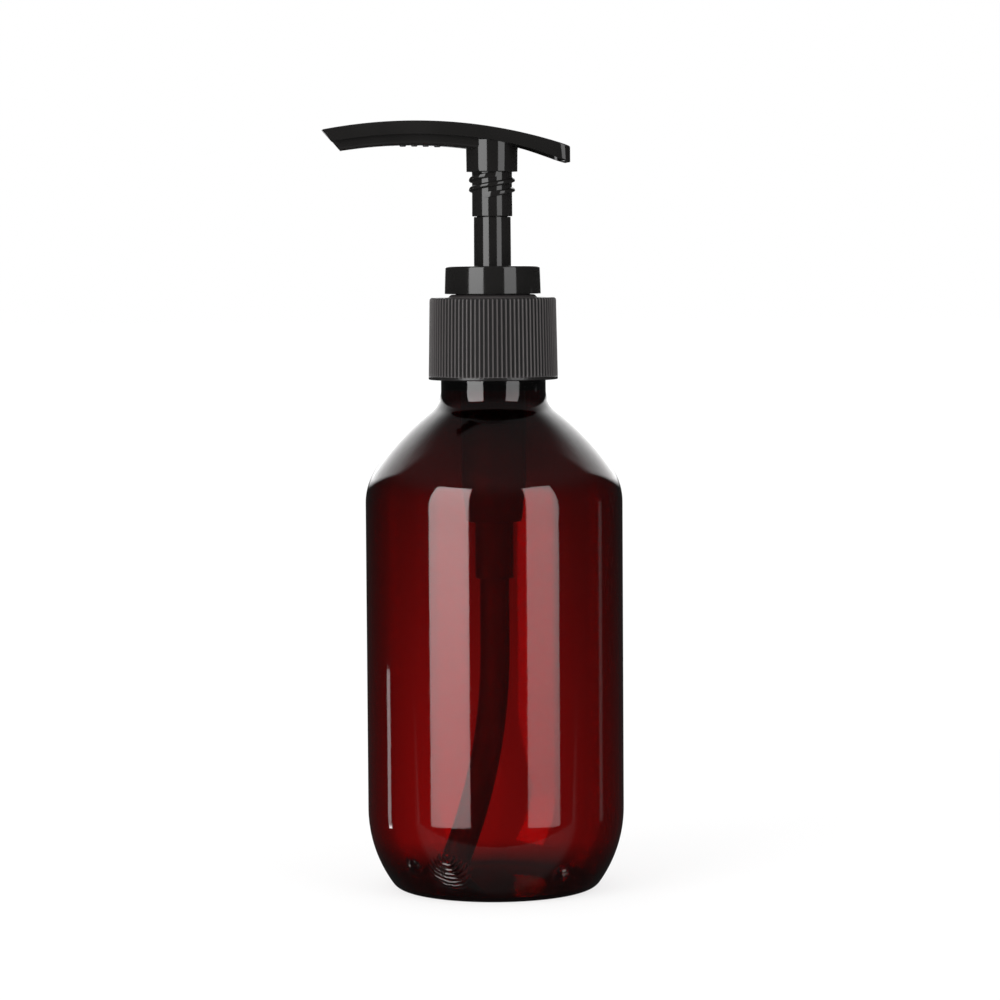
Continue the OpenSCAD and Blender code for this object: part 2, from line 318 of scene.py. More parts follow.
class Nodes:
    """Small helper round a material's node tree."""

    def __init__(self, name):
        self.material = bpy.data.materials.new(name)
        self.material.use_nodes = True
        self.tree = self.material.node_tree
        self.shader = self.tree.nodes["Principled BSDF"]
        coords = self.add("ShaderNodeTexCoord")
        self.place = coords.outputs["Object"]

    def add(self, kind, **settings):
        node = self.tree.nodes.new(kind)
        for key, value in settings.items():
            setattr(node, key, value)
        return node

    def link(self, a, b):
        self.tree.links.new(a, b)

    def noise(self, scale, detail, stretch=(1, 1, 1)):
        """Noise in the object's own coordinates, which are metres."""
        mapping = self.add("ShaderNodeMapping")
        mapping.inputs["Scale"].default_value = stretch
        self.link(self.place, mapping.inputs["Vector"])
        node = self.add("ShaderNodeTexNoise")
        node.inputs["Scale"].default_value = scale
        node.inputs["Detail"].default_value = detail
        self.link(mapping.outputs["Vector"], node.inputs["Vector"])
        return node.outputs["Fac"]

    def remap(self, value, low, high, start=0.3, end=0.7):
        """Value from start..end to low..high, held at both ends."""
        node = self.add("ShaderNodeMapRange")
        node.inputs["From Min"].default_value = start
        node.inputs["From Max"].default_value = end
        node.inputs["To Min"].default_value = low
        node.inputs["To Max"].default_value = high
        self.link(value, node.inputs["Value"])
        return node.outputs["Result"]

    def mix(self, factor, a, b):
        node = self.add("ShaderNodeMix", data_type="RGBA")
        node.inputs[6].default_value = (*a, 1)
        node.inputs[7].default_value = (*b, 1)
        self.link(factor, node.inputs[0])
        return node.outputs[2]

    def ramp(self, value, *stops):
        """A colour ramp through (position, colour) stops."""
        node = self.add("ShaderNodeValToRGB")
        elements = node.color_ramp.elements
        while len(elements) < len(stops):
            elements.new(0.5)
        for element, (place, colour) in zip(elements, stops):
            element.position = place
            element.color = (*colour, 1)
        self.link(value, node.inputs["Fac"])
        return node.outputs["Color"]

    def bump(self, height, strength, distance):
        """Bump the shader's normal by a height, in place of any bump before it."""
        node = self.add("ShaderNodeBump")
        node.inputs["Strength"].default_value = strength
        node.inputs["Distance"].default_value = distance
        self.link(height, node.inputs["Height"])
        self.link(node.outputs["Normal"], self.shader.inputs["Normal"])


def plastic(name, dark, light, rough, grain, strength, distance=GRAIN, ior=PLASTIC_IOR):
    """Moulded plastic: a slow drift of colour and gloss, and a fine surface grain."""
    n = Nodes(name)
    n.link(n.mix(n.remap(n.noise(60, 2.0), 0, 1), dark, light), n.shader.inputs["Base Color"])
    n.link(n.remap(n.noise(180, 4.0), *rough), n.shader.inputs["Roughness"])
    n.bump(n.noise(grain, 5.0), strength, distance)
    n.shader.inputs["IOR"].default_value = ior
    return n.material


def ribbed_satin():
    """Satin rib crests, painted shade darkening the grooves between them, which are also duller, and a
    glossy band at the foot.
    """
    n = Nodes("black_satin")
    split = n.add("ShaderNodeSeparateXYZ")
    n.link(n.place, split.inputs["Vector"])
    flat = n.add("ShaderNodeCombineXYZ")
    n.link(split.outputs["X"], flat.inputs["X"])
    n.link(split.outputs["Y"], flat.inputs["Y"])
    radius = n.add("ShaderNodeVectorMath", operation="LENGTH")
    n.link(flat.outputs["Vector"], radius.inputs[0])
    z = split.outputs["Z"]
    crest = n.remap(z, CAP_LOW_R * MM, CAP_TOP_R * MM, CAP_LOW * MM, CAP_PANEL * MM)
    depth = n.add("ShaderNodeMath", operation="SUBTRACT")
    n.link(crest, depth.inputs[0])
    n.link(radius.outputs["Value"], depth.inputs[1])
    groove = n.remap(depth.outputs[0], 0, 1, 0.08 * MM, 0.34 * MM)
    outer = n.remap(radius.outputs["Value"], 0, 1, 15.2 * MM, 15.3 * MM)
    cut = n.add("ShaderNodeMath", operation="MULTIPLY")
    n.link(groove, cut.inputs[0])
    n.link(outer, cut.inputs[1])
    band_top = CAP_LOW + CAP_BAND
    band = n.remap(z, 1, 0, (band_top - 0.1) * MM, (band_top + 0.05) * MM)
    satin = n.mix(n.noise(60, 2.0), (0.051, 0.0455, 0.0455), (0.067, 0.060, 0.060))
    colour, rough = satin, n.remap(n.noise(180, 4.0), 0.44, 0.54)
    # painted shade: in the grooves the colour drops to near black; the band at the foot is its own
    # darker glossy plastic
    for mask, dark, dull in ((cut.outputs[0], 0.006, 0.85), (band, 0.010, 0.22)):
        tone = n.add("ShaderNodeMix", data_type="RGBA")
        n.link(mask, tone.inputs[0])
        n.link(colour, tone.inputs[6])
        tone.inputs[7].default_value = (dark, dark * 0.93, dark * 0.93, 1)
        gloss = n.add("ShaderNodeMix", data_type="FLOAT")
        n.link(mask, gloss.inputs[0])
        n.link(rough, gloss.inputs[2])
        gloss.inputs[3].default_value = dull
        colour, rough = tone.outputs[2], gloss.outputs[0]
    n.link(colour, n.shader.inputs["Base Color"])
    n.link(rough, n.shader.inputs["Roughness"])
    n.bump(n.noise(5200, 5.0), 0.35, GRAIN)
    n.shader.inputs["IOR"].default_value = PLASTIC_IOR
    return n.material


def steel():
    """Drawn or ground steel, with fine lines round the axis."""
    n = Nodes("steel")
    lines = n.noise(900, 3.0, stretch=(0.2, 0.2, 6))
    tone = n.mix(n.remap(lines, 0, 1), (0.50, 0.50, 0.52), (0.66, 0.66, 0.67))
    n.link(tone, n.shader.inputs["Base Color"])
    n.link(n.remap(lines, 0.16, 0.30), n.shader.inputs["Roughness"])
    n.bump(lines, 0.2, 0.00001)
    n.shader.inputs["Metallic"].default_value = 1.0
    return n.material


def flow_marks(n, turn, height, spread):
    """Curling flow marks moulded in the outside of the heel, within spread of a point.

    The curls are arcs about a centre above that point.
    """
    a = FLOW_ANGLE + math.radians(turn)
    r = BODY_R - HEEL_R1 + math.sqrt(HEEL_R1**2 - (HEEL_Z - height) ** 2)
    move = n.add("ShaderNodeMapping")
    point = (r * math.cos(a), r * math.sin(a), height)
    move.inputs["Location"].default_value = [-v * MM for v in point]
    n.link(n.place, move.inputs["Vector"])
    rise = n.add("ShaderNodeVectorMath", operation="SUBTRACT")
    n.link(move.outputs["Vector"], rise.inputs[0])
    rise.inputs[1].default_value = (0, 0, 0.8 * spread * MM)
    wave = n.add("ShaderNodeTexWave", wave_type="RINGS", rings_direction="SPHERICAL")
    for key, value in (("Scale", 290), ("Distortion", 2.5), ("Detail", 1), ("Detail Scale", 0.5)):
        wave.inputs[key].default_value = value
    n.link(rise.outputs["Vector"], wave.inputs["Vector"])
    away = n.add("ShaderNodeVectorMath", operation="LENGTH")
    n.link(move.outputs["Vector"], away.inputs[0])
    depth = n.remap(away.outputs["Value"], 1.0, 0.0, 0.4 * spread * MM, spread * MM)
    relief = n.add("ShaderNodeMath", operation="MULTIPLY")
    n.link(wave.outputs["Fac"], relief.inputs[0])
    n.link(depth, relief.inputs[1])
    before = n.shader.inputs["Normal"].links[0].from_socket
    n.bump(relief.outputs[0], 1.0, 0.00040)
    n.link(before, n.shader.inputs["Normal"].links[0].from_node.inputs["Normal"])


def red_shell():
    """Clear red blown plastic: an absorbing wall, with painted shade in its colour that darkens it
    towards the neck.
    """
    n = Nodes("red_pet")
    split = n.add("ShaderNodeSeparateXYZ")
    n.link(n.place, split.inputs["Vector"])
    # painted shade: the colour falls off with height from about 90 mm up, darkest at the neck
    painted_neck_shade = n.ramp(
        n.remap(split.outputs["Z"], 0, 1, 0.0, 0.150),
        (0.60, (1.00, 0.98, 0.98)),
        (0.68, (0.92, 0.90, 0.90)),
        (0.755, (0.62, 0.58, 0.58)),
        (0.80, (0.22, 0.20, 0.20)),
    )
    n.link(painted_neck_shade, n.shader.inputs["Base Color"])
    n.link(n.remap(n.noise(40, 3.0), 0.035, 0.06), n.shader.inputs["Roughness"])
    n.bump(n.noise(26, 1.0, stretch=(1, 1, 0.35)), 0.10, 0.0006)
    for turn, height, spread in FLOW_MARKS:
        flow_marks(n, turn, height, spread)
    n.shader.inputs["Transmission Weight"].default_value = 1.0
    n.shader.inputs["IOR"].default_value = RED_IOR
    volume = n.add("ShaderNodeVolumeAbsorption")
    volume.inputs["Color"].default_value = (*RED_TINT, 1)
    volume.inputs["Density"].default_value = RED_DENSITY
    output = n.tree.nodes["Material Output"]
    n.link(volume.outputs["Volume"], output.inputs["Volume"])
    return n.material


GLOSS = plastic(
    "black_gloss",
    (0.0065, 0.0062, 0.006),
    (0.010, 0.0095, 0.0092),
    (0.06, 0.12),
    1800,
    0.05,
    ior=1.51,
)
SATIN = ribbed_satin()
INNER = plastic(
    "black_inner", (0.014, 0.0125, 0.0125), (0.020, 0.0185, 0.018), (0.46, 0.58), 2200, 0.10
)
TUBE = plastic("dark_tube", (0.020, 0.016, 0.015), (0.034, 0.027, 0.026), (0.48, 0.60), 1500, 0.10)
FOAM = plastic("foam", (0.68, 0.67, 0.63), (0.82, 0.81, 0.77), (0.75, 0.92), 2600, 0.9, 3 * GRAIN, 1.4)
NATURAL = plastic("natural", (0.62, 0.61, 0.57), (0.72, 0.71, 0.68), (0.30, 0.42), 1500, 0.15)
STEEL = steel()
RED = red_shell()


def dress(obj, material, slot=None, body=None, *nodes):
    """Material, and for a new piece its body and the CAD nodes that it stands for. The slot is not
    used.
    """
    obj.data.materials.clear()
    obj.data.materials.append(material)
    if body:
        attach(obj, body)
        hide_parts(*nodes)
    return obj


# ---------------------------------------------------------------- bottle


def shell_side(inset):
    """The bottle's side from the foot ring to the neck, moved inwards by inset."""
    lean = math.degrees(math.asin((HEEL_Z - HEEL_R2) / (HEEL_R1 - HEEL_R2)))
    big = Vector((BODY_R - HEEL_R1, HEEL_Z))
    turn = Vector((math.cos(math.radians(lean)), -math.sin(math.radians(lean))))
    small = big + turn * (HEEL_R1 - HEEL_R2)
    (r1, a1), (r2, a2), r3 = SHOULDER
    first = Vector((BODY_R - r1, SHOULDER_Z))
    way1 = Vector((math.cos(math.radians(a1)), math.sin(math.radians(a1))))
    way2 = Vector((math.cos(math.radians(a2)), math.sin(math.radians(a2))))
    second = first + way1 * (r1 - r2)
    third = second + way2 * (r2 + r3)
    points = arc(small, HEEL_R2 - inset, -90, -lean, 4)
    points += arc(big, HEEL_R1 - inset, -lean, 0, 1.0)[1:]
    points += arc(first, r1 - inset, 0, a1, 2)
    points += arc(second, r2 - inset, a1, a2, 1)[1:]
    points += arc(third, r3 + inset, 180 + a2, 180, 4)[1:]
    return points


def base_side(lift):
    """The base's push-up from the axis to the foot ring, moved up by lift."""
    radius = (FOOT_R**2 + DOME_H**2) / (2 * DOME_H)
    edge = math.degrees(math.asin(FOOT_R / radius))
    points = arc((0, DOME_H - radius), radius + lift, 90, 90 - edge, 0.25)
    return [(0.0, points[0][1])] + points[1:]


def make_bottle():
    """Blown shell with its base, neck finish and thread."""
    outside = base_side(0) + shell_side(0)
    inside = base_side(BASE_T) + shell_side(WALL)
    neck_r, neck_z = outside[-1]
    finish = rounded(
        [
            (neck_r, neck_z + 1, 0),
            (neck_r, NECK_STEP, 0.25),
            (NECK_ROOT, NECK_STEP + 0.5, 0.2),
            (NECK_ROOT, LIP, 0.35),
            (NECK_BORE, LIP, 0.3),
            (NECK_BORE, neck_z + 2.2, 1.5),
            (neck_r - WALL, neck_z + 0.2, 0.8),
            (neck_r - WALL, neck_z, 0),
        ]
    )
    obj = lathe("bottle_shell", outside + finish[1:-1] + inside[::-1], 224)
    swirl(obj)
    rib = screw_rib(
        "neck_rib",
        NECK_ROOT - 0.25,
        NECK_CREST,
        THREAD_FOOT,
        THREAD_LAND,
        THREAD_PITCH,
        THREAD_TURNS,
        NECK_THREAD_Z,
    )
    return combine(obj, [rib])


def swirl(obj):
    """Gate mark and the curling flow marks round it, on both faces of the base."""
    for v in obj.data.vertices:
        x, y, z = v.co / MM
        if z > 6 or math.hypot(x, y) > SWIRL_R:
            continue
        outer = z < DOME_H + 0.2
        gate = -0.45 * (1 - smooth((math.hypot(x, y) - 1.6) / 0.8)) if outer else 0.0
        r, a = math.hypot(x - SWIRL_X, y), math.atan2(y, x - SWIRL_X)
        fade = smooth(r / 1.2) * (1 - smooth((r - 3) / 7))
        wave = math.sin(a + 3.0 * r) + 0.3 * math.sin(3 * a - 1.3 * r + 1.0)
        v.co.z += (0.17 * fade * wave * (0.4 if outer else 1.0) + gate) * MM


dress(make_bottle(), RED, "red_pet", "bottle", "bottle")


# ---------------------------------------------------------------- closure


def make_closure():
    """Ribbed skirt, panel and boss. Each outline point carries its groove depth."""
    plain = CAP_LOW + CAP_BAND

    def crest(z):
        return CAP_LOW_R + (CAP_TOP_R - CAP_LOW_R) * (z - CAP_LOW) / (CAP_PANEL - CAP_LOW)

    rows = [(CAP_LOW_R - 0.22, CAP_LOW, 0), (CAP_LOW_R - 0.06, CAP_LOW + 0.06, 0)]
    rows += [(CAP_LOW_R, CAP_LOW + 0.22, 0), (crest(plain - 0.12), plain - 0.12, 0)]
    rows += [(crest(plain) - 0.02, plain, 0.10), (crest(plain + 0.2), plain + 0.2, 0.40)]
    z = plain + 1.0
    while z < CAP_PANEL - 1.2:
        rows.append((crest(z), z, GROOVE_DEPTH))
        z += 1.5
    rows.append((crest(CAP_PANEL - 0.8), CAP_PANEL - 0.8, GROOVE_DEPTH))
    for angle, depth in ((15, 0.40), (30, 0.36), (45, 0.28), (60, 0.16), (75, 0.05), (90, 0)):
        a = math.radians(angle)
        rows.append((CAP_TOP_R - 0.6 + 0.6 * math.cos(a), CAP_PANEL - 0.6 + 0.6 * math.sin(a), depth))
    rest = rounded(
        [
            (15.4, CAP_PANEL, 0),
            (11.4, CAP_PANEL, 0.25),
            (10.75, CAP_PANEL + 0.62, 0.2),
            (10.4, BOSS_TOP, 0.1),
            (9.6, BOSS_TOP, 0.12),
            (9.6, CAP_PANEL - 1.55, 0.1),
            (CAP_BORE, CAP_PANEL - 1.55, 0.5),
            (CAP_BORE, CAP_LOW, 0.35),
            (CAP_LOW_R - 0.3, CAP_LOW, 0),
        ]
    )[1:-1]
    outline = [(r, z) for r, z, _ in rows] + rest
    depths = [d for _, _, d in rows] + [0] * len(rest)

    def groove(angle, i):
        phase = (angle * CAP_RIBS / (2 * math.pi)) % 1.0
        return -depths[i] * smooth((0.5 - abs(phase - 0.5)) / 0.22 - 0.35)

    obj = lathe("closure_shell", outline, CAP_RIBS * 10, groove, 50)
    rib = screw_rib(
        "closure_rib",
        CAP_BORE + 0.25,
        CAP_THREAD_CREST,
        THREAD_FOOT,
        THREAD_LAND,
        THREAD_PITCH,
        THREAD_TURNS,
        CAP_THREAD_Z,
    )
    return combine(obj, [rib], sharp=50)


dress(make_closure(), SATIN, "black_satin", "closure", "closure")


# ---------------------------------------------------------------- pump body


def make_chaplet():
    """Locking collar with a snap groove, the stem's guide and its half of the lock thread."""
    outline = rounded(
        [
            (STEM_R + 0.08, GUIDE_LOW, 0.1),
            (6.9, GUIDE_LOW, 0.3),
            (6.9, 156.2, 0.3),
            (9.55, 156.5, 0.2),
            (9.55, 154.9, 0),
            (9.92, 154.5, 0),
            (9.92, 153.5, 0),
            (9.55, 153.1, 0),
            (9.55, CHAPLET_LOW, 0.15),
            (10.5, CHAPLET_LOW, 0.15),
            (10.5, 156.0, 0.2),
            (11.1, 156.0, 0.2),
            (11.1, CHAPLET_LOW, 0.15),
            (12.15, CHAPLET_LOW, 0.15),
            (12.0, CHAPLET_TOP, 0.45),
            (5.95, CHAPLET_TOP, 0.35),
            (5.95, 147.2, 0.3),
            (STEM_R + 0.08, 146.0, 0.3),
        ]
    )
    obj = lathe("chaplet_shell", outline, 192)
    ribs = [
        screw_rib(
            f"chaplet_rib_{i}",
            6.15,
            LOCK_NUT_CREST,
            1.3,
            0.5,
            LOCK_LEAD,
            LOCK_NUT_TURNS,
            LOCK_NUT_Z,
            i * math.pi,
        )
        for i in range(2)
    ]
    return combine(obj, ribs)


def make_housing():
    """Pump cylinder with its flange, snap ring, vent, ball seat and spigot."""
    seat = 91.0
    outline = rounded(
        [
            (TUBE_R + 0.05, SPIGOT_LOW, 0.1),
            (4.85, SPIGOT_LOW, 0.3),
            (4.85, 93.5, 0.3),
            (7.0, 93.5, 0.35),
            (BARREL_R, 104.0, 3.0),
            (BARREL_R, 147.2, 0.3),
            (12.4, 147.2, 0.2),
            (12.4, 148.5, 0.2),
            (9.45, 148.5, 0.1),
            (9.45, 153.5, 0),
            (9.8, 154.0, 0.1),
            (9.45, 154.5, 0),
            (9.45, RING_TOP, 0.3),
            (8.6, RING_TOP, 0.2),
            (8.6, 148.4, 0.2),
            (BORE_R, 147.0, 0.2),
            (BORE_R, 101.5, 0.5),
            (5.95, 97.0, 0.5),
            (5.95, 95.5, 0.2),
            (3.9, 95.5, 0.1),
            (3.9, 97.3, 0.1),
            (3.0, 97.3, 0.1),
            (3.0, seat + 1.4, 0.1),
            (1.6, seat, 0.05),
            (1.6, 89.0, 0.05),
            (TUBE_R + 0.05, 89.0, 0.05),
        ]
    )
    obj = lathe("housing_shell", outline, 144)
    vent = lathe("vent", [(0, -4), (0.5, -4), (0.5, 4), (0, 4)], 24)
    vent.data.transform(
        Matrix.Translation((0, -BARREL_R * MM, 140.0 * MM)) @ Matrix.Rotation(math.pi / 2, 4, "X")
    )
    return combine(obj, [vent], "DIFFERENCE")


def tube_path(t):
    """Centre and tilt of the dip tube. t runs from 0 at its top to 1 at its foot."""
    straight = TUBE_TOP - TUBE_BEND_Z
    bent = TUBE_BEND_R * math.radians(TUBE_BEND_A)
    s = t * (straight + bent)
    if s < straight:
        return Vector((0, 0, TUBE_TOP - s)), 0.0
    a = (s - straight) / TUBE_BEND_R
    return (
        Vector((-TUBE_BEND_R * (1 - math.cos(a)), 0, TUBE_BEND_Z - TUBE_BEND_R * math.sin(a))),
        a,
    )


def make_tube():
    """Dip tube: straight from its top, then one long bend to the spout's side."""
    rows, around = 60, 48
    rings = []
    walk = [(i / rows, TUBE_R) for i in range(rows + 1)]
    walk += [(1 - i / rows, TUBE_BORE) for i in range(rows + 1)]
    for t, radius in walk:
        centre, tilt = tube_path(t)
        side = Vector((math.cos(tilt), 0, -math.sin(tilt)))
        ring = []
        for k in range(around):
            a = 2 * math.pi * k / around
            ring.append(centre + side * (radius * math.cos(a)) + Vector((0, radius * math.sin(a), 0)))
        rings.append(ring)
    return skin("dip_tube_sweep", rings, closed=True)


def make_spring():
    """Compression spring with dead coils at both ends."""
    wire, mean, coils, dead = 0.45, 4.75, 8, 0.75
    low, high = bottom("spring") + wire, top("spring") - wire
    pitch = (high - low - 4 * dead * wire) / coils
    per_turn, around = 48, 12
    rings = []
    for i in range(round((coils + 2 * dead) * per_turn) + 1):
        t = i / per_turn
        z = low + 2 * wire * (min(t, dead) + max(t - dead - coils, 0))
        z += pitch * min(max(t - dead, 0), coils)
        a = 2 * math.pi * t
        ring = []
        for k in range(around):
            b = 2 * math.pi * k / around
            r = mean + wire * math.cos(b)
            ring.append((r * math.cos(a), r * math.sin(a), z + wire * math.sin(b)))
        rings.append(ring)
    return skin("spring_wire", rings)


dress(make_chaplet(), GLOSS, "black_gloss", "pump_body", "chaplet")
dress(make_housing(), INNER, "black_gloss", "pump_body", "housing")
dress(make_tube(), TUBE, "tube", "pump_body", "dip_tube")
spring = dress(make_spring(), STEEL, "steel", "pump_body", "spring")
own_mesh(spring)


# ---------------------------------------------------------------- stem and head


def make_stem():
    """Plain tube with a narrower top, which goes in the head's socket."""
    outline = rounded(
        [
            (3.22, STEM_LOW, 0.1),
            (STEM_R, STEM_LOW, 0.25),
            (STEM_R, SKIRT_LOW - 0.15, 0.12),
            (3.9, SKIRT_LOW - 0.15, 0.05),
            (3.9, STEM_TOP, 0.3),
            (2.6, STEM_TOP, 0.1),
            (2.6, 150.6, 0.2),
            (3.22, 150.2, 0.1),
        ]
    )
    return lathe("stem_tube", outline, 128)


def arch_point(u, y, radius):
    """A point of the head: u runs from the spout's oblique end to the tail's end."""
    depth = ARCH_R - radius
    tip_top = math.asin((TIP_TOP_X + ARCH_X) / ARCH_R)
    tip_low = math.asin((TIP_LOW_X + ARCH_X) / (ARCH_R - SPOUT_T))
    tip = tip_top + (tip_low - tip_top) * depth / SPOUT_T
    tail = math.asin((TAIL_X + ARCH_X) / radius)
    a = tip + (tail - tip) * u
    return Vector((-ARCH_X + radius * math.sin(a), y, ARCH_Z + radius * math.cos(a)))


def half_width(u, inset=0.0):
    """Half the plate's width: narrow at the spout, rounded off at the tail."""
    x = arch_point(u, 0, ARCH_R).x
    end = TAIL_X - inset
    corner = min(1.0, max(0.0, (x - end + 3) / 3))
    full = TIP_W + (PLATE_W - TIP_W) * smooth((x + 42) / 38) - inset
    return full - (PLATE_W - inset) * 0.3 * (1 - math.sqrt(1 - corner**2))


def tail_rim(u):
    """How much deeper the plate's rim is towards the tail."""
    return 0.45 * smooth((arch_point(u, 0, ARCH_R).x - 6) / 12)


def stations(start, end, count=72):
    """Places along the head, closer together towards the tail's rounded end."""
    return [start + (end - start) * (1 - (1 - i / count) ** 1.7) for i in range(count + 1)]


def head_section(u, inset, low, high, edge, floor_edge, crown=0.0):
    """A closed section between two arch radii, with rounded corners."""
    w = half_width(u, inset)
    corners = [(-w, low, floor_edge), (w, low, floor_edge), (w, high, edge), (-w, high, edge)]
    points = rounded(corners, 4)
    ring = []
    for y, radius in points:
        drop = crown * (y / w) ** 2 if radius > (low + high) / 2 else 0.0
        ring.append(arch_point(u, y, radius - drop))
    return ring


def place_at(x, radius=ARCH_R):
    """The u whose point at that arch radius has this x."""
    low, high = 0.0, 1.0
    for _ in range(40):
        mid = (low + high) / 2
        low, high = (mid, high) if arch_point(mid, 0, radius).x < x else (low, mid)
    return low


def make_head():
    """Arched plate with its spout, post, lock thread, waterway, socket and hollow tail."""
    plate = skin(
        "head_shell",
        [
            head_section(u, 0, ARCH_R - PLATE_T - tail_rim(u), ARCH_R, 0.35, 0.16, 0.08)
            for u in stations(0, 1)
        ],
    )
    bevel(plate, 0.18, 50)
    hollow_end = place_at(TAIL_X - 1.2)
    hollow = skin(
        "hollow",
        [
            head_section(u, 1.2, ARCH_R - 9, ARCH_R - 1.3, 0.5, 0)
            for u in stations(place_at(4.0), hollow_end)
        ],
    )
    keep = lathe("keep", [(0, 170), (POST_R, 170), (POST_R, 200), (0, 200)], 128)
    combine(hollow, [keep], "DIFFERENCE")
    combine(plate, [hollow], "DIFFERENCE")
    spout = skin(
        "spout",
        [
            head_section(u, SPOUT_INSET, ARCH_R - SPOUT_T, ARCH_R - PLATE_T + 0.5, 0, 1.0)
            for u in stations(0, place_at(1.0), 56)
        ],
    )
    bevel(spout, 0.15, 60)
    post = lathe(
        "post",
        rounded(
            [
                (0, SKIRT_LOW, 0),
                (SKIRT_R, SKIRT_LOW, 0.18),
                (SKIRT_R, POST_LOW, 0.12),
                (POST_R - 0.14, POST_LOW, 0.15),
                (POST_R, POST_LOW + 8, 0),
                (0, POST_LOW + 8, 0),
            ]
        ),
        144,
    )
    threads = [
        screw_rib(
            f"lock_rib_{i}",
            SKIRT_R - 0.14,
            LOCK_CREST,
            1.5,
            0.8,
            LOCK_LEAD,
            LOCK_TURNS,
            LOCK_Z,
            LOCK_PHASE + i * math.pi,
        )
        for i in range(2)
    ]
    combine(plate, [spout, post] + threads)
    waterway = skin(
        "waterway",
        [
            [
                arch_point(u, WATERWAY_R * math.cos(a), ARCH_R - 3.3 + WATERWAY_R * math.sin(a))
                for a in (2 * math.pi * k / 32 for k in range(32))
            ]
            for u in [-0.05 + (place_at(0.0) + 0.05) * i / 40 for i in range(41)]
        ],
    )
    socket = lathe(
        "socket",
        [
            (0, SKIRT_LOW - 1),
            (SOCKET_R, SKIRT_LOW - 1),
            (SOCKET_R, 184),
            (2.4, 184),
            (2.4, 189.6),
            (0, 189.6),
        ],
        96,
    )
    combine(plate, [waterway, socket], "DIFFERENCE")
    marks = []
    for i in range(4):
        x = -13.8 - 2.9 * i
        u = place_at(x, ARCH_R - SPOUT_T)
        foot = arch_point(u, 0, ARCH_R - SPOUT_T)
        mark = lathe(
            f"mark_{i}", rounded([(0, -0.35, 0), (0.8, -0.35, 0.25), (0.8, 0.6, 0), (0, 0.6, 0)]), 32
        )
        mark.data.transform(Matrix.Translation(foot * MM))
        marks.append(mark)
    return combine(plate, marks)


dress(make_stem(), GLOSS, "black_gloss", "head", "stem")
dress(make_head(), GLOSS, "black_gloss", "head", "head")

# Hidden pieces keep their CAD shape
dress(nodes["gasket"], FOAM)
dress(nodes["piston"], NATURAL)
dress(nodes["piston_rod"], INNER)
dress(nodes["ball"], STEEL)


# ---------------------------------------------------------------- studio

CAMERA_AZIMUTH = math.radians(-6.0)
CAMERA_DISTANCE = 0.900
CAMERA_HEIGHT = 0.1601
CAMERA_PITCH = math.radians(3.897)
CAMERA_ROLL = math.radians(-0.37)
CAMERA_SIDE = 0.0015
TABLE_SLOPE = 0.53

PANEL_DISTANCE = 0.70
SOFTBOX_LOW, SOFTBOX_HIGH = -0.115, 0.63
FADE_HEIGHT, FADE_LEVEL = 0.22, 0.8


def make_camera():
    """A camera at about the height of the pump's collar, tilted down."""
    data = bpy.data.cameras.new("camera")
    data.sensor_width = 36
    data.lens = 127.9
    data.clip_start, data.clip_end = 0.05, 50
    obj = new_object("camera", data)
    turn = Matrix.Rotation(CAMERA_AZIMUTH, 4, "Z")
    place = turn @ Vector((CAMERA_SIDE, -CAMERA_DISTANCE, CAMERA_HEIGHT))
    tilt = Matrix.Rotation(math.pi / 2 - CAMERA_PITCH, 4, "X")
    roll = Matrix.Rotation(CAMERA_ROLL, 4, "Z")
    obj.matrix_world = Matrix.Translation(place) @ turn @ tilt @ roll
    SCENE.camera = obj


def softbox(name, azimuth, width, low, high, radiance, foot=None):
    """An upright panel facing the bottle, azimuth in degrees from the camera.

    With foot, it fades to FADE_LEVEL of its radiance at FADE_HEIGHT of its height, and on to
    foot at its lower end.
    """
    data = bpy.data.lights.new(name, "AREA")
    data.shape = "RECTANGLE"
    data.size, data.size_y = width, high - low
    data.energy = radiance * math.pi * width * (high - low)
    data.use_nodes = True
    if foot is not None:
        tree = data.node_tree
        place = tree.nodes.new("ShaderNodeNewGeometry")
        split = tree.nodes.new("ShaderNodeSeparateXYZ")
        tree.links.new(place.outputs["Parametric"], split.inputs["Vector"])
        total = tree.nodes.new("ShaderNodeMath")
        steps = ((0, FADE_HEIGHT, foot, FADE_LEVEL), (FADE_HEIGHT, 1, 0, 1 - FADE_LEVEL))
        for values, socket in zip(steps, total.inputs):
            ramp = tree.nodes.new("ShaderNodeMapRange")
            for key, value in zip(("From Min", "From Max", "To Min", "To Max"), values):
                ramp.inputs[key].default_value = value
            tree.links.new(split.outputs["Y"], ramp.inputs["Value"])
            tree.links.new(ramp.outputs["Result"], socket)
        tree.links.new(total.outputs[0], tree.nodes["Emission"].inputs["Strength"])
    obj = new_object(name, data)
    turn = Matrix.Rotation(CAMERA_AZIMUTH + math.radians(azimuth), 4, "Z")
    spot = turn @ Vector((0, -PANEL_DISTANCE, (low + high) / 2))
    obj.matrix_world = Matrix.Translation(spot) @ turn @ Matrix.Rotation(math.pi / 2, 4, "X")
    obj.visible_camera = False
    return obj


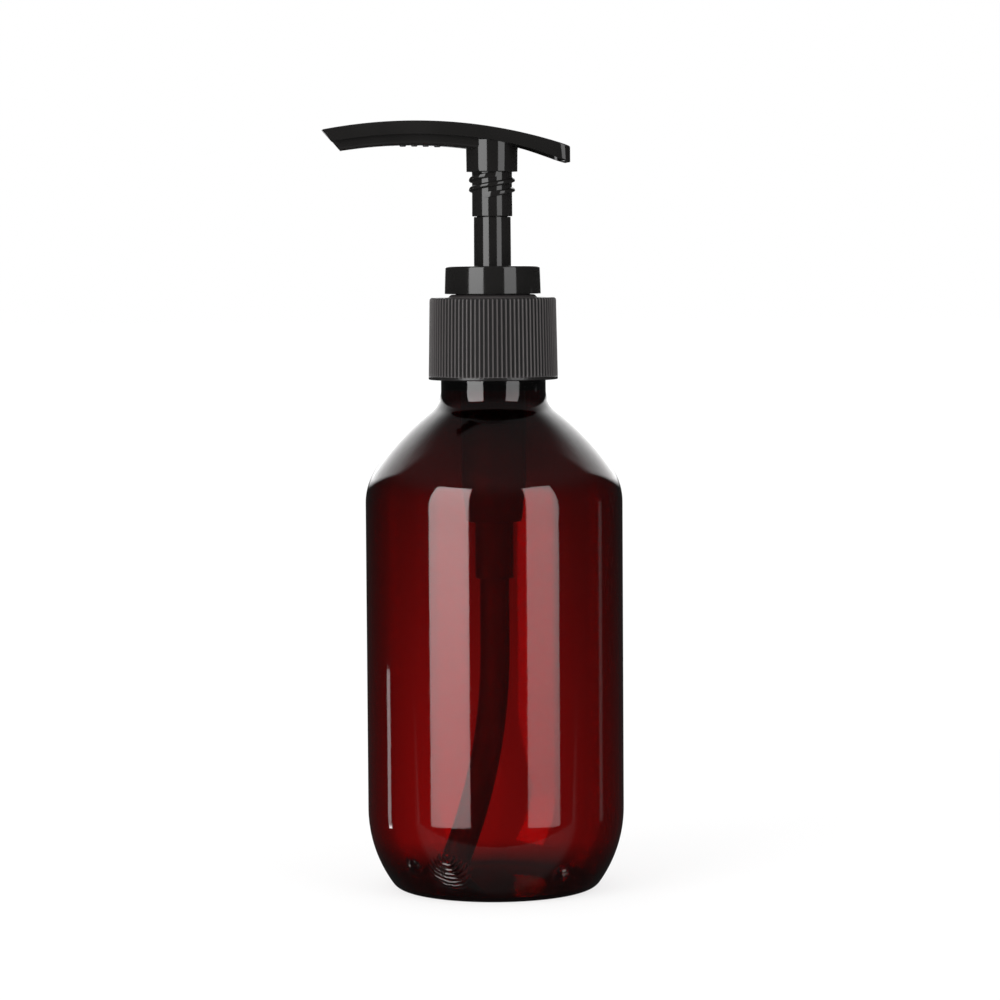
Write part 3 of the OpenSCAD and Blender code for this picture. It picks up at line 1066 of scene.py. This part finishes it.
def make_floor():
    """A white floor that gloss doesn't see, with a faint shadow round the bottle's foot, and a painted
    shadow under it for rays that pass through the bottle.
    """
    bm = bmesh.new()
    bmesh.ops.create_circle(bm, cap_ends=True, segments=96, radius=8)
    mesh = bpy.data.meshes.new("floor")
    bm.to_mesh(mesh)
    bm.free()
    obj = new_object("floor", mesh)
    n = Nodes("floor")
    n.shader.inputs["Roughness"].default_value = 0.9
    tone = n.mix(n.noise(3, 2.0), (0.86, 0.86, 0.86), (0.89, 0.89, 0.89))
    n.link(tone, n.shader.inputs["Base Color"])
    glow = n.add("ShaderNodeEmission")
    glow.inputs["Strength"].default_value = 1.02
    reach = n.add("ShaderNodeVectorMath", operation="LENGTH")
    n.link(n.place, reach.inputs[0])
    bright = n.add("ShaderNodeMixShader")
    n.link(n.remap(reach.outputs["Value"], 0.72, 1, 0.06, 0.30), bright.inputs[0])
    n.link(n.shader.outputs[0], bright.inputs[1])
    n.link(glow.outputs[0], bright.inputs[2])
    # through the bottle's base, transmission rays see only a painted shadow: a near-black spot where
    # the bottle stands, fading out further off
    painted_shadow = n.add("ShaderNodeEmission")
    painted_shadow.inputs["Strength"].default_value = 0.004
    through = n.add("ShaderNodeMixShader")
    n.link(n.remap(reach.outputs["Value"], 0, 1, 0.030, 0.068), through.inputs[0])
    n.link(painted_shadow.outputs[0], through.inputs[1])
    n.link(n.add("ShaderNodeBsdfTransparent").outputs[0], through.inputs[2])
    path = n.add("ShaderNodeLightPath")
    both = n.add("ShaderNodeMixShader")
    n.link(path.outputs["Is Transmission Ray"], both.inputs[0])
    n.link(bright.outputs[0], both.inputs[1])
    n.link(through.outputs[0], both.inputs[2])
    n.link(both.outputs[0], n.tree.nodes["Material Output"].inputs["Surface"])
    mesh.materials.append(n.material)
    obj.visible_glossy = False


def make_world():
    """A bright backdrop behind a dim room.

    Gloss sees the backdrop from the horizon up, a pale table in front of the bottle, and a
    dim room elsewhere. Rays that pass through the bottle see a pool of light low on the
    backdrop and little round it.
    """
    world = bpy.data.worlds.new("studio")
    world.use_nodes = True
    SCENE.world = world
    tree = world.node_tree
    coords = tree.nodes.new("ShaderNodeTexCoord")
    turn = tree.nodes.new("ShaderNodeVectorRotate")
    turn.rotation_type = "Z_AXIS"
    turn.inputs["Angle"].default_value = -CAMERA_AZIMUTH
    tree.links.new(coords.outputs["Generated"], turn.inputs["Vector"])
    split = tree.nodes.new("ShaderNodeSeparateXYZ")
    tree.links.new(turn.outputs["Vector"], split.inputs["Vector"])
    side, ahead, up = split.outputs

    def ramp(socket, start, end, low, high, kind="SMOOTHSTEP"):
        node = tree.nodes.new("ShaderNodeMapRange")
        node.interpolation_type = kind
        for key, value in zip(("From Min", "From Max", "To Min", "To Max"), (start, end, low, high)):
            node.inputs[key].default_value = value
        tree.links.new(socket, node.inputs["Value"])
        return node.outputs["Result"]

    def math_node(operation, a, b):
        node = tree.nodes.new("ShaderNodeMath")
        node.operation = operation
        for socket, value in zip(node.inputs, (a, b)):
            if isinstance(value, (int, float)):
                socket.default_value = value
            else:
                tree.links.new(value, socket)
        return node.outputs[0]

    def background(strength):
        shader = tree.nodes.new("ShaderNodeBackground")
        tree.links.new(strength, shader.inputs["Strength"])
        return shader

    plain = tree.nodes["Background"]
    plain.inputs["Color"].default_value = (1, 1, 1, 1)
    plain.inputs["Strength"].default_value = 1.0

    # gloss: the white area widens upwards, and ends below the ceiling
    reach = math_node("ADD", ahead, up)
    white = math_node("MULTIPLY", ramp(reach, 0.955, 1.035, 0, 1), ramp(up, -0.026, -0.012, 0, 1))
    white = math_node("MULTIPLY", white, ramp(up, 0.50, 0.80, 1, 0))
    white = math_node("MULTIPLY", white, ramp(ahead, 0.45, 1.0, 0.9, 3.2, "LINEAR"))
    room = math_node("ADD", ramp(up, 0.3, 0.8, 0, 0.10), ramp(ahead, -0.5, 0.6, 0.055, 0.03))
    # the pale table in front of the bottle, seen below the slope of its near edge
    toward = math_node("MAXIMUM", math_node("MULTIPLY", ahead, -1.0), 0.0)
    drop = math_node("ADD", up, math_node("MULTIPLY", toward, TABLE_SLOPE))
    table = math_node("ADD", 0.17, ramp(drop, -0.032, -0.014, 0, 0.16))
    table = math_node("MULTIPLY", table, ramp(drop, -0.014, 0.0, 1, 0))
    table = math_node("MULTIPLY", table, ramp(toward, 0.18, 0.32, 0, 1))
    table = math_node("MULTIPLY", table, ramp(up, -0.92, -0.65, 0.5, 1))
    room = math_node("ADD", room, table)
    gloss = background(math_node("ADD", white, room))

    # passing through: a pool of light low behind the bottle, plain grey from other sides
    pool = ramp(up, -0.165, -0.03, 0.40, 0.052)
    pool = math_node("MULTIPLY", pool, ramp(up, -0.42, -0.22, 0.25, 1))
    pool = math_node("MULTIPLY", pool, ramp(side, -0.03, 0.03, 1.12, 0.72, "LINEAR"))
    near = math_node("MULTIPLY", ramp(side, 0.03, 0.10, 1, 0.3), ramp(side, -0.11, -0.04, 0.3, 1))
    pool = math_node("MULTIPLY", pool, near)
    away = ramp(ahead, 0.4, 0.8, 0.30, 0)
    clear = background(math_node("ADD", pool, away))

    path = tree.nodes.new("ShaderNodeLightPath")
    last = plain
    for flag, shader in (("Is Glossy Ray", gloss), ("Is Transmission Ray", clear)):
        mix = tree.nodes.new("ShaderNodeMixShader")
        tree.links.new(path.outputs[flag], mix.inputs[0])
        tree.links.new(last.outputs[0], mix.inputs[1])
        tree.links.new(shader.outputs[0], mix.inputs[2])
        last = mix
    tree.links.new(last.outputs[0], tree.nodes["World Output"].inputs["Surface"])


make_camera()
make_floor()
make_world()
softbox("softbox_left", -40.6, 0.465, SOFTBOX_LOW, SOFTBOX_HIGH, 5.25, 0.42)
softbox("softbox_right", 43.0, 0.375, SOFTBOX_LOW, SOFTBOX_HIGH, 3.0, 0.48)
# narrow strips far round the sides, for the thin lines of light down the body's edges
for panel in (
    softbox("side_left", -109.0, 0.06, -0.15, -0.02, 2.2, 4.5),
    softbox("side_right", 107.0, 0.06, -0.11, 0.12, 0.22),
):
    panel.visible_transmission = False

SCENE.view_settings.view_transform = "Standard"
SCENE.cycles.use_denoising = True
